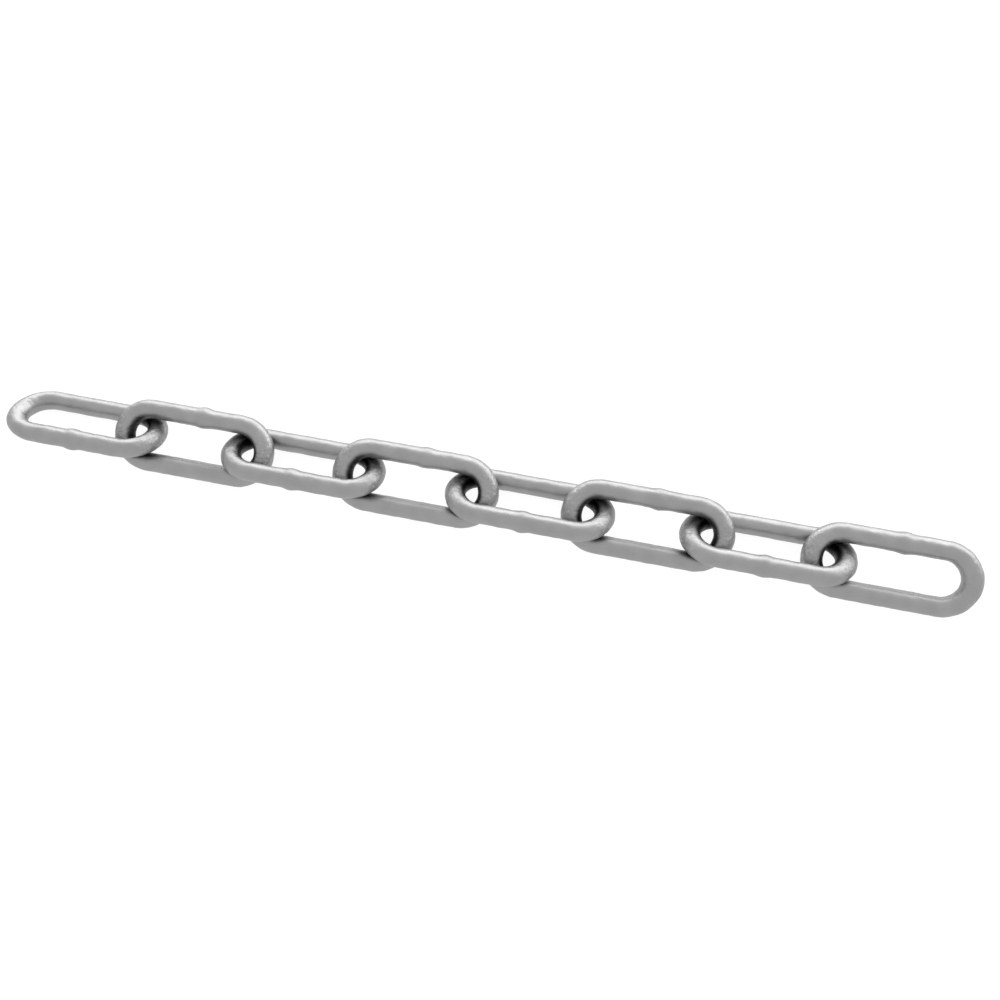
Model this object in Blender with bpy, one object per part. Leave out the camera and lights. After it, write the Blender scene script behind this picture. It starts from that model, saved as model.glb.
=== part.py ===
"""A straight length of eight welded long-link steel chain links, lying at rest on a level floor.

Metres, +Z up, +X along the chain. The origin lies on the floor under the chain's middle.
Each link is one round wire bent to an oval, a little fuller round the outside of its ends,
and butt welded near the middle of one leg.
Odd links lean one way and even links the other, so that every link lies on its lower leg
and leans over until it all but touches its neighbours.
"""

import math

import bmesh
import bpy
from mathutils import Vector

# Driving dimensions
LINK_COUNT = 8
WIRE = 0.008  # thickness of the round wire
INNER_LENGTH = 0.052  # the eye of a link, from end to end
INNER_WIDTH = 0.014  # the eye of a link, from leg to leg
PLAY = 0.0045  # how much further two neighbouring links could still be pulled apart
CROWN_RISE = 0.0008  # how far the outside of the rounded ends stands out of the wire
WELD_RISE = 0.0006  # how far the butt weld stands out of the wire
WELD_LENGTH = 0.0068  # the stretch of wire that the weld swells
ODD_WELD_PLACE = -0.001  # how far to the right of the leg's middle the weld lies, on odd links
EVEN_WELD_PLACE = 0.003  # and on even links

# How finely the round shapes are divided
WIRE_SIDES = 28
CROWN_STEPS = 12
WELD_STEPS = 6

# Sizes that follow from the driving dimensions
LEAN = 2 * 2 * math.pi / WIRE_SIDES  # a link's plane against the floor, with a flat side face down
SPACING = INNER_LENGTH - PLAY
HALF_LENGTH = (INNER_LENGTH + WIRE) / 2  # from a link's middle to the wire's centre line at its end
CROWN_RADIUS = (INNER_WIDTH + WIRE) / 2  # of the wire's centre line
CROWN_CENTRE = HALF_LENGTH - CROWN_RADIUS  # from a link's middle to the middle of its rounded end
REST_HEIGHT = CROWN_RADIUS * math.sin(LEAN) + WIRE / 2


def clear_scene():
    for old in list(bpy.data.objects):
        bpy.data.objects.remove(old, do_unlink=True)


def steel():
    material = bpy.data.materials.new("chain_steel")
    material.use_nodes = True
    surface = material.node_tree.nodes["Principled BSDF"]
    surface.inputs["Base Color"].default_value = (0.42, 0.42, 0.42, 1.0)
    surface.inputs["Metallic"].default_value = 0.8
    surface.inputs["Roughness"].default_value = 0.48
    return material


def crown_stations(side):
    """The bends of one rounded end, seen from above: straight pieces that touch the true curve.

    side is 1 for the right end and -1 for the left one. Each station is a point of the wire's
    centre line, its direction out of the bend, how much the mitre there widens the section, what
    scales the wire, and how far its outside is raised.
    """
    turn = math.pi / CROWN_STEPS
    mitre = 1 / math.cos(turn / 2)
    stations = []
    for step in range(CROWN_STEPS):
        angle = -math.pi / 2 + (step + 0.5) * turn
        outward = Vector((math.cos(angle), math.sin(angle), 0)) * side
        point = Vector((CROWN_CENTRE * side, 0, 0)) + outward * CROWN_RADIUS * mitre
        stations.append((point, outward, mitre, 1.0, CROWN_RISE * math.cos(angle) ** 2))
    return stations


def weld_stations(place):
    """The swollen stretch of the welded leg, from right to left, in the same form."""
    stations = []
    for step in range(WELD_STEPS + 1):
        along = step / WELD_STEPS * 2 - 1
        swell = 1 + WELD_RISE / (WIRE / 2) * (1 + math.cos(math.pi * along)) / 2
        point = Vector((place - along * WELD_LENGTH / 2, CROWN_RADIUS, 0))
        stations.append((point, Vector((0, 1, 0)), 1.0, swell, 0.0))
    return stations


def link_mesh(weld_place):
    """One link in its own plane, with its welded leg at +Y.

    Its origin is the middle of its left rounded end, about which it swings on its neighbour.
    """
    stations = crown_stations(1) + weld_stations(weld_place) + crown_stations(-1)
    corner_radius = WIRE / 2 / math.cos(math.pi / WIRE_SIDES)
    upright = Vector((0, 0, 1))
    to_origin = Vector((CROWN_CENTRE, 0, 0))
    mesh = bmesh.new()
    rings = []
    for point, outward, mitre, swell, rise in stations:
        ring = []
        for side in range(WIRE_SIDES):
            angle = (side + 0.5) * 2 * math.pi / WIRE_SIDES
            across = outward * (math.cos(angle) * mitre) + upright * math.sin(angle)
            raised = outward * (rise * max(0.0, math.cos(angle)))
            ring.append(mesh.verts.new(to_origin + point + across * corner_radius * swell + raised))
        rings.append(ring)
    for index, ring in enumerate(rings):
        following = rings[(index + 1) % len(rings)]
        for side in range(WIRE_SIDES):
            beside = (side + 1) % WIRE_SIDES
            mesh.faces.new((ring[side], following[side], following[beside], ring[beside]))
    bmesh.ops.recalc_face_normals(mesh, faces=mesh.faces)
    data = bpy.data.meshes.new("welded_link")
    mesh.to_mesh(data)
    mesh.free()
    data.shade_smooth()
    data.set_sharp_from_angle(angle=math.radians(40))
    return data


def build_chain():
    """Each link hangs on the one before it, with its origin on the axis that it swings about."""
    odd_link = link_mesh(ODD_WELD_PLACE)
    even_link = link_mesh(EVEN_WELD_PLACE)
    finish = steel()
    odd_link.materials.append(finish)
    even_link.materials.append(finish)
    crossing = math.pi - 2 * LEAN
    before = None
    for number in range(1, LINK_COUNT + 1):
        data = even_link if number % 2 == 0 else odd_link
        link = bpy.data.objects.new(f"link_{number}", data)
        bpy.context.scene.collection.objects.link(link)
        if before is None:
            middle = -(LINK_COUNT - 1) / 2 * SPACING
            link.location = (middle - CROWN_CENTRE, 0, REST_HEIGHT)
            link.rotation_euler = (math.pi - LEAN, 0, 0)
        else:
            link.parent = before
            link.location = (SPACING, 0, 0)
            link.rotation_euler = (-crossing if number % 2 == 0 else crossing, 0, 0)
        before = link


clear_scene()
build_chain()
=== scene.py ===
import math

import bpy
from mathutils import Matrix, Vector


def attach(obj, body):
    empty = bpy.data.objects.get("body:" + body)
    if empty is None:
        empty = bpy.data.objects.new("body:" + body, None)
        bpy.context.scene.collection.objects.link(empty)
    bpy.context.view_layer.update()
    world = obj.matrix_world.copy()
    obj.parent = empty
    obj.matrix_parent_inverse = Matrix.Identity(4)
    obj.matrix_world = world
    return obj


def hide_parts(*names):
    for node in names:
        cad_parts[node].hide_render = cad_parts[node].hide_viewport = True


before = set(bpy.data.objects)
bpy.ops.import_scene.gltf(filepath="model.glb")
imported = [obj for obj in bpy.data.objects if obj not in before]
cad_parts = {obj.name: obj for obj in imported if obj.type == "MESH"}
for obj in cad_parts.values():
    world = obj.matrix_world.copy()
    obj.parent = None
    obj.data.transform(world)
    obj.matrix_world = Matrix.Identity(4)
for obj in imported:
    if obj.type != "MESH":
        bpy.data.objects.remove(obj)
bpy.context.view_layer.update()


# The eight links. Each is one round bar of mild steel, cut, bent hot round a former to an oval
# with its neighbour already threaded in, and butt welded near the middle of one leg.
# The ends are a little fuller round their outside, and the weld leaves a low swollen collar.
LINK_COUNT = 8
WIRE = 0.008
EYE_LENGTH = 0.052
EYE_WIDTH = 0.014
SPACING = 0.0475
LEAN = math.pi / 7
CROWN_RISE = 0.00076  # a hair less than on the solids, so that it stays inside their box
WELD_RISE = 0.0006
WELD_LENGTH = 0.0068
ODD_WELD_PLACE = -0.001  # to the right of the leg's middle
EVEN_WELD_PLACE = 0.003
CROWN_RADIUS = (EYE_WIDTH + WIRE) / 2
REST_HEIGHT = CROWN_RADIUS * math.sin(LEAN) + WIRE / 2
RING_COUNT = 440  # round the oval
SIDE_COUNT = 72  # round the wire
CROWN_STEPS = 64  # of the oval's curve in each quarter turn
NO_NEIGHBOUR = 1.0  # so far off that it leaves no painted shade
SEED_STEP = 0.37  # moves the surface marks on from one link to the next
LUMP_SIZE = 0.006  # how long the unevenness of the weld collar is
WAVE_SIZE = 0.005  # slow waves from rolling and bending
WAVE_DEPTH = 0.00015
MARK_SIZE = 0.0011  # small dents and scale marks
MARK_DEPTH = 0.00016
BEARING_WEAR = 0.00012  # off the inside of the bends, where the neighbour bears

links_tree = bpy.data.node_groups.new("welded_links", "GeometryNodeTree")


def add_input(tree, name, kind, value):
    socket = tree.interface.new_socket(name=name, in_out="INPUT", socket_type=kind)
    socket.default_value = value
    return socket.identifier


link_inputs = {
    "Wire": add_input(links_tree, "Wire", "NodeSocketFloat", WIRE),
    "Eye length": add_input(links_tree, "Eye length", "NodeSocketFloat", EYE_LENGTH),
    "Eye width": add_input(links_tree, "Eye width", "NodeSocketFloat", EYE_WIDTH),
    "Crown rise": add_input(links_tree, "Crown rise", "NodeSocketFloat", CROWN_RISE),
    "Weld rise": add_input(links_tree, "Weld rise", "NodeSocketFloat", WELD_RISE),
    "Weld length": add_input(links_tree, "Weld length", "NodeSocketFloat", WELD_LENGTH),
    "Weld place": add_input(links_tree, "Weld place", "NodeSocketFloat", ODD_WELD_PLACE),
    "Left neighbour": add_input(links_tree, "Left neighbour", "NodeSocketFloat", -SPACING),
    "Right neighbour": add_input(links_tree, "Right neighbour", "NodeSocketFloat", SPACING),
    "Crossing": add_input(links_tree, "Crossing", "NodeSocketFloat", 2 * LEAN),
    "Rings": add_input(links_tree, "Rings", "NodeSocketInt", RING_COUNT),
    "Sides": add_input(links_tree, "Sides", "NodeSocketInt", SIDE_COUNT),
    "Seed": add_input(links_tree, "Seed", "NodeSocketFloat", 0.0),
    "Finish": add_input(links_tree, "Finish", "NodeSocketMaterial", None),
}
links_tree.interface.new_socket(name="Link", in_out="OUTPUT", socket_type="NodeSocketGeometry")


def add_node(tree, kind, sources=None, **settings):
    """A node with its settings made and its inputs joined to sockets or set to numbers."""
    node = tree.nodes.new(kind)
    for setting, value in settings.items():
        setattr(node, setting, value)
    for place, source in (sources or {}).items():
        socket = node.inputs[place]
        if isinstance(source, bpy.types.NodeSocket):
            tree.links.new(source, socket)
        else:
            socket.default_value = source
    return node


def calculate(tree, operation, first, second=0.0, third=0.0):
    node = add_node(tree, "ShaderNodeMath", operation=operation)
    for socket, source in zip(node.inputs, (first, second, third)):
        if isinstance(source, bpy.types.NodeSocket):
            tree.links.new(source, socket)
        else:
            socket.default_value = source
    return node.outputs[0]


def ramp(tree, value, low, high, start=0.0, end=1.0):
    """A smooth step from start to end as value goes from low to high."""
    node = add_node(
        tree,
        "ShaderNodeMapRange",
        {"Value": value, "From Min": low, "From Max": high, "To Min": start, "To Max": end},
        interpolation_type="SMOOTHSTEP",
    )
    return node.outputs["Result"]


def build_links_tree(tree):
    group = add_node(tree, "NodeGroupInput").outputs
    height = calculate(tree, "ADD", group["Eye width"], group["Wire"])
    crown_radius = calculate(tree, "MULTIPLY", height, 0.5)
    wire_radius = calculate(tree, "MULTIPLY", group["Wire"], 0.5)
    crown_centre = calculate(
        tree, "MULTIPLY", calculate(tree, "SUBTRACT", group["Eye length"], group["Eye width"]), 0.5
    )
    # the wire's centre line: a flat oval with half-round ends
    length = calculate(tree, "ADD", group["Eye length"], group["Wire"])
    oblong = add_node(
        tree, "GeometryNodeCurvePrimitiveQuadrilateral", {"Width": length, "Height": height}
    )
    oval = add_node(
        tree,
        "GeometryNodeFilletCurve",
        {
            "Curve": oblong.outputs[0],
            "Radius": crown_radius,
            "Count": CROWN_STEPS,
            "Limit Radius": True,
        },
        mode="POLY",
    )
    centre_line = add_node(
        tree, "GeometryNodeResampleCurve", {"Curve": oval.outputs[0], "Count": group["Rings"]}
    )
    section = add_node(
        tree,
        "GeometryNodeCurvePrimitiveCircle",
        {"Resolution": group["Sides"], "Radius": wire_radius},
    )
    bar = add_node(
        tree,
        "GeometryNodeCurveToMesh",
        {"Curve": centre_line.outputs[0], "Profile Curve": section.outputs[0]},
    )
    # how near a point is to the wires of the neighbouring links
    place = add_node(tree, "GeometryNodeInputPosition").outputs[0]
    crossing = add_node(tree, "ShaderNodeCombineXYZ", {0: group["Crossing"]}).outputs[0]
    neighbours = add_node(tree, "GeometryNodeJoinGeometry")
    for side in ("Left neighbour", "Right neighbour"):
        beside = add_node(tree, "ShaderNodeCombineXYZ", {0: group[side]}).outputs[0]
        moved = add_node(
            tree,
            "GeometryNodeTransform",
            {"Geometry": centre_line.outputs[0], "Translation": beside, "Rotation": crossing},
        )
        tree.links.new(moved.outputs[0], neighbours.inputs[0])
    lines = add_node(tree, "GeometryNodeCurveToMesh", {"Curve": neighbours.outputs[0]}).outputs[0]
    distance = add_node(
        tree, "GeometryNodeProximity", {0: lines, "Sample Position": place}, target_element="EDGES"
    ).outputs["Distance"]
    clearance = calculate(tree, "SUBTRACT", distance, wire_radius)
    # where a point is on the link: along, across, how far round the bend, and how far inside
    axes = add_node(tree, "ShaderNodeSeparateXYZ", {"Vector": place}).outputs
    past = calculate(tree, "SUBTRACT", calculate(tree, "ABSOLUTE", axes[0]), crown_centre)
    past = calculate(tree, "MAXIMUM", past, 0.0)
    spread = calculate(
        tree,
        "SQRT",
        calculate(tree, "MULTIPLY_ADD", past, past, calculate(tree, "MULTIPLY", axes[1], axes[1])),
    )
    end_share = calculate(tree, "DIVIDE", past, spread)
    inside = calculate(
        tree, "DIVIDE", calculate(tree, "SUBTRACT", crown_radius, spread), wire_radius
    )
    # the weld: a low collar on the +Y leg, uneven where the upset metal was squeezed out
    half_weld = calculate(tree, "MULTIPLY", group["Weld length"], 0.5)
    from_weld = calculate(tree, "SUBTRACT", axes[0], group["Weld place"])
    from_weld = calculate(tree, "DIVIDE", calculate(tree, "ABSOLUTE", from_weld), half_weld)
    collar = ramp(tree, from_weld, 0.0, 1.2, 1.0, 0.0)
    welded_leg = calculate(tree, "GREATER_THAN", axes[1], 0.0)
    collar = calculate(tree, "MULTIPLY", collar, welded_leg)
    # each link has its own waves, dents and lumps
    step_on = add_node(tree, "ShaderNodeCombineXYZ", {0: group["Seed"], 2: group["Seed"]})
    seeded = add_node(
        tree, "ShaderNodeVectorMath", {0: place, 1: step_on.outputs[0]}, operation="ADD"
    ).outputs[0]

    def noise(size, detail=2.0, roughness=0.5):
        return add_node(
            tree,
            "ShaderNodeTexNoise",
            {"Vector": seeded, "Scale": 1 / size, "Detail": detail, "Roughness": roughness},
        ).outputs[0]

    lumpy = ramp(tree, noise(LUMP_SIZE, 1.0), 0.3, 0.7, 0.75, 1.0)
    rise = calculate(
        tree, "MULTIPLY", calculate(tree, "MULTIPLY", collar, lumpy), group["Weld rise"]
    )
    # the rounded ends are fuller on their outside
    outside = calculate(tree, "MAXIMUM", calculate(tree, "MULTIPLY", inside, -1.0), 0.0)
    fullness = calculate(tree, "MULTIPLY", end_share, outside)
    fullness = calculate(tree, "MULTIPLY", fullness, fullness)
    fuller = calculate(tree, "MULTIPLY", fullness, group["Crown rise"])
    # the bar's own surface only loses metal: in slow waves, in dents, which are deeper at the
    # bends, and where the neighbours bear
    waves = ramp(tree, noise(WAVE_SIZE, 1.0), 0.3, 0.7, 0.0, -WAVE_DEPTH)
    knocked = ramp(tree, end_share, 0.4, 0.9, 0.12, 1.0)
    scale_marks = ramp(tree, noise(MARK_SIZE, 3.0, 0.6), 0.5, 0.72, 0.0, -MARK_DEPTH)
    scale_marks = calculate(tree, "MULTIPLY", scale_marks, knocked)
    bearing = calculate(
        tree, "MULTIPLY", ramp(tree, inside, 0.35, 1.0), ramp(tree, end_share, 0.8, 1.0)
    )
    bearing = calculate(tree, "MULTIPLY", bearing, -BEARING_WEAR)
    change = rise
    for part in (fuller, waves, scale_marks, bearing):
        change = calculate(tree, "ADD", change, part)
    outward = add_node(tree, "GeometryNodeInputNormal").outputs[0]
    shift = add_node(
        tree, "ShaderNodeVectorMath", {0: outward, "Scale": change}, operation="SCALE"
    ).outputs[0]
    shaped = add_node(
        tree, "GeometryNodeSetPosition", {"Geometry": bar.outputs[0], "Offset": shift}
    ).outputs[0]
    # what the finish needs to know at each point
    for name, value in (
        ("bend", ramp(tree, end_share, 0.1, 0.8)),
        ("inside", inside),
        ("weld", collar),
        ("clearance", clearance),
    ):
        shaped = add_node(
            tree,
            "GeometryNodeStoreNamedAttribute",
            {"Geometry": shaped, "Name": name, "Value": value},
            data_type="FLOAT",
            domain="POINT",
        ).outputs[0]
    smooth = add_node(tree, "GeometryNodeSetShadeSmooth", {0: shaped}).outputs[0]
    real = add_node(tree, "GeometryNodeRealizeInstances", {0: smooth}).outputs[0]
    finished = add_node(
        tree, "GeometryNodeSetMaterial", {"Geometry": real, "Material": group["Finish"]}
    ).outputs[0]
    tree.links.new(finished, add_node(tree, "NodeGroupOutput").inputs[0])


build_links_tree(links_tree)

# The finish of bare or thinly zinc-coated steel: neutral grey, satin and faintly clouded. It is
# pitted and flecked on the outer side of the bends, where links knock together, and painted dark
# inside the bends and in the cracks where the links all but touch, as painted shade.
STEEL_TONE = (0.305, 0.335)  # of the darkest and the lightest clouds
CLOUD_SIZE = 0.006
PIT_SIZE = 0.0008
PIT_DARKENING = 0.065
FLECK_SIZE = 0.0011
FLECK_BRIGHTENING = 0.12
ROUGHNESS = (0.41, 0.47)
ROUGHNESS_PATCH = 0.003
PIT_DULLING = 0.15
WELD_DULLING = 0.04
GRAIN_SIZE = 0.0003
BUMP_DEPTH = 0.00008
PIT_SHARE = 0.6  # of the bump's depth
GRAIN_SHARE = 0.35
FULL_PAINTED_SHADE = 0.002  # how far from the neighbour the painted shade inside a bend is fully dark
LEG_PAINTED_SHADE_REACH = 0.0028  # how far from the neighbour the last of the painted shade lies, on the legs
BEND_PAINTED_SHADE_REACH = 0.0095  # and how much farther it lies at the bends
CRACK_PAINTED_SHADE_REACH = 0.0018  # the same outside the eye, on the legs
BEND_CRACK_REACH = 0.0016
# how far the painted shade darkens the steel's colour
PAINTED_SHADE_DARKENING = 0.97
steel = bpy.data.materials.new("satin_steel")
steel.use_nodes = True


def build_steel(tree):
    surface = tree.nodes["Principled BSDF"]
    surface.inputs["Metallic"].default_value = 1.0
    place = add_node(tree, "ShaderNodeTexCoord").outputs["Object"]

    def noise(size, detail, roughness=0.5):
        return add_node(
            tree,
            "ShaderNodeTexNoise",
            {"Vector": place, "Scale": 1 / size, "Detail": detail, "Roughness": roughness},
        ).outputs[0]

    def stored(name):
        return add_node(tree, "ShaderNodeAttribute", attribute_name=name).outputs["Fac"]

    bend = stored("bend")
    inside = stored("inside")
    clearance = stored("clearance")
    # painted shade: the inside of the bends and the cracks between the links are painted dark near
    # a neighbour
    full = calculate(tree, "MULTIPLY", bend, FULL_PAINTED_SHADE)
    reach = calculate(tree, "MULTIPLY_ADD", bend, BEND_PAINTED_SHADE_REACH, LEG_PAINTED_SHADE_REACH)
    pocket = ramp(tree, clearance, full, reach, 1.0, 0.0)
    pocket = calculate(tree, "MULTIPLY", pocket, ramp(tree, inside, 0.25, 0.7))
    crack_reach = calculate(tree, "MULTIPLY_ADD", bend, BEND_CRACK_REACH, CRACK_PAINTED_SHADE_REACH)
    painted_shade = calculate(tree, "MAXIMUM", pocket, ramp(tree, clearance, 0.0, crack_reach, 1.0, 0.0))
    # where two links knock together, the outer side of the bends is pitted and flecked
    tip = calculate(
        tree, "MULTIPLY", ramp(tree, bend, 0.75, 1.0), ramp(tree, inside, -0.6, 0.7, 1.0, 0.0)
    )
    tip = calculate(tree, "MULTIPLY", tip, ramp(tree, clearance, 0.004, 0.012, 1.0, 0.1))
    pits = ramp(tree, noise(PIT_SIZE, 2.0, 0.6), 0.54, 0.64)
    pits = calculate(tree, "MULTIPLY", pits, calculate(tree, "MULTIPLY_ADD", tip, 0.9, 0.1))
    flecks = ramp(tree, noise(FLECK_SIZE, 2.0, 0.6), 0.55, 0.66)
    flecks = calculate(tree, "MULTIPLY", flecks, tip)
    tone = ramp(tree, noise(CLOUD_SIZE, 3.0), 0.3, 0.7, *STEEL_TONE)
    tone = calculate(tree, "MULTIPLY_ADD", flecks, FLECK_BRIGHTENING, tone)
    tone = calculate(tree, "MULTIPLY_ADD", pits, -PIT_DARKENING, tone)
    # the painted shade darkens the steel's colour almost to black near the neighbours
    unshaded = calculate(tree, "MULTIPLY_ADD", painted_shade, -PAINTED_SHADE_DARKENING, 1.0)
    tone = calculate(tree, "MULTIPLY", tone, unshaded)
    colour = add_node(tree, "ShaderNodeCombineColor", {0: tone, 1: tone, 2: tone}).outputs[0]
    tree.links.new(colour, surface.inputs["Base Color"])
    # the pits and the weld are a little duller, and a fine grain lies over everything
    rough = ramp(tree, noise(ROUGHNESS_PATCH, 3.0), 0.3, 0.7, *ROUGHNESS)
    rough = calculate(tree, "MULTIPLY_ADD", pits, PIT_DULLING, rough)
    rough = calculate(tree, "MULTIPLY_ADD", stored("weld"), WELD_DULLING, rough)
    tree.links.new(rough, surface.inputs["Roughness"])
    grain = calculate(tree, "MULTIPLY", noise(GRAIN_SIZE, 3.0, 0.6), GRAIN_SHARE)
    height = calculate(tree, "MULTIPLY_ADD", pits, -PIT_SHARE, grain)
    bump = add_node(
        tree, "ShaderNodeBump", {"Height": height, "Strength": 0.5, "Distance": BUMP_DEPTH}
    ).outputs[0]
    tree.links.new(bump, surface.inputs["Normal"])


build_steel(steel.node_tree)


def make_link(number):
    """One link with its own marks, laid in its place in the chain."""
    carrier = bpy.data.objects.new(f"carrier_{number}", bpy.data.meshes.new(f"carrier_{number}"))
    bpy.context.scene.collection.objects.link(carrier)
    modifier = carrier.modifiers.new("welded_links", "NODES")
    modifier.node_group = links_tree
    if number == 1:
        modifier[link_inputs["Left neighbour"]] = NO_NEIGHBOUR
    if number == LINK_COUNT:
        modifier[link_inputs["Right neighbour"]] = NO_NEIGHBOUR
    odd = number % 2 == 1
    modifier[link_inputs["Crossing"]] = 2 * LEAN if odd else -2 * LEAN
    modifier[link_inputs["Weld place"]] = ODD_WELD_PLACE if odd else EVEN_WELD_PLACE
    modifier[link_inputs["Seed"]] = number * SEED_STEP
    modifier[link_inputs["Finish"]] = steel
    graph = bpy.context.evaluated_depsgraph_get()
    mesh = bpy.data.meshes.new_from_object(carrier.evaluated_get(graph))
    mesh.name = f"forged_link_{number}"
    bpy.data.objects.remove(carrier)
    turn = math.pi - LEAN if odd else LEAN
    middle = Vector(((number - (LINK_COUNT + 1) / 2) * SPACING, 0, REST_HEIGHT))
    mesh.transform(Matrix.Translation(middle) @ Matrix.Rotation(turn, 4, "X"))
    link = bpy.data.objects.new(f"forged_link_{number}", mesh)
    bpy.context.scene.collection.objects.link(link)
    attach(link, f"link_{number}")
    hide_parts(f"link_{number}")


for number in range(1, LINK_COUNT + 1):
    make_link(number)


# The floor, which isn't part of the chain: a plain white table top, as under a product
# photograph. It glows as an opal light table does, so that the chain's shadow hardly shows on it.
HALF_FLOOR = 3.0
FLOOR_GREY = 0.15
FLOOR_GLOW = 0.92
floor_corners = [
    (-HALF_FLOOR, -HALF_FLOOR, 0),
    (HALF_FLOOR, -HALF_FLOOR, 0),
    (HALF_FLOOR, HALF_FLOOR, 0),
    (-HALF_FLOOR, HALF_FLOOR, 0),
]
floor_mesh = bpy.data.meshes.new("floor")
floor_mesh.from_pydata(floor_corners, [], [(0, 1, 2, 3)])
floor = bpy.data.objects.new("floor", floor_mesh)
bpy.context.scene.collection.objects.link(floor)
paper = bpy.data.materials.new("white_table")
paper.use_nodes = True
paper_surface = paper.node_tree.nodes["Principled BSDF"]
paper_surface.inputs["Base Color"].default_value = (FLOOR_GREY, FLOOR_GREY, FLOOR_GREY, 1.0)
paper_surface.inputs["Roughness"].default_value = 0.9
paper_surface.inputs["Specular IOR Level"].default_value = 0.0
paper_surface.inputs["Emission Color"].default_value = (1.0, 1.0, 1.0, 1.0)
paper_surface.inputs["Emission Strength"].default_value = FLOOR_GLOW
floor_mesh.materials.append(paper)


# The light: an even white surround, and one wide soft box low behind the chain. Both light the
# chain only straight, so that one leg mirrored in the next stays dark as in the photograph.
# The box is kept out of the camera's sight.
world = bpy.data.worlds.new("white_surround")
world.use_nodes = True
world.node_tree.nodes["Background"].inputs["Color"].default_value = (1.0, 1.0, 1.0, 1.0)
world.node_tree.nodes["Background"].inputs["Strength"].default_value = 1.0
world.cycles.max_bounces = 0
bpy.context.scene.world = world

KEY_DISTANCE = 1.0
KEY_WIDTH = 3.6
KEY_HEIGHT = 0.75
KEY_ELEVATION = math.radians(21)
KEY_AZIMUTH = math.radians(8)
KEY_BRIGHTNESS = 8.4  # watts for each square metre of the box
key_direction = Vector(
    (
        math.sin(KEY_AZIMUTH) * math.cos(KEY_ELEVATION),
        math.cos(KEY_AZIMUTH) * math.cos(KEY_ELEVATION),
        math.sin(KEY_ELEVATION),
    )
)
key_data = bpy.data.lights.new("low_soft_box", "AREA")
key_data.shape = "RECTANGLE"
key_data.size = KEY_WIDTH
key_data.size_y = KEY_HEIGHT
key_data.energy = KEY_BRIGHTNESS * KEY_WIDTH * KEY_HEIGHT
key_data.cycles.max_bounces = 0
key = bpy.data.objects.new("low_soft_box", key_data)
key.location = key_direction * KEY_DISTANCE
key.rotation_euler = key_direction.to_track_quat("Z", "Y").to_euler()
key.visible_camera = False
bpy.context.scene.collection.objects.link(key)


# The camera: above and in front of the chain, and turned about its own line of sight, so that
# the chain runs down to the right. Its place, aim and turn were fitted to the outlines of the
# eight links in the photograph.
CAMERA_PLACE = Vector((0.06151, -0.15962, 0.40941))
CAMERA_AIM = Vector((0.01175, -0.0006, 0.00877))
CAMERA_ROLL = math.radians(5.8307)
CAMERA_LENS = 38.8
camera_data = bpy.data.cameras.new("camera")
camera_data.lens = CAMERA_LENS
camera_data.sensor_width = 36.0
camera_data.clip_start = 0.01
camera = bpy.data.objects.new("camera", camera_data)
level = (CAMERA_AIM - CAMERA_PLACE).to_track_quat("-Z", "Y").to_matrix()
camera.matrix_world = Matrix.Translation(CAMERA_PLACE) @ (
    level @ Matrix.Rotation(-CAMERA_ROLL, 3, "Z")
).to_4x4()
bpy.context.scene.collection.objects.link(camera)
bpy.context.scene.camera = camera
bpy.context.scene.view_settings.view_transform = "Standard"
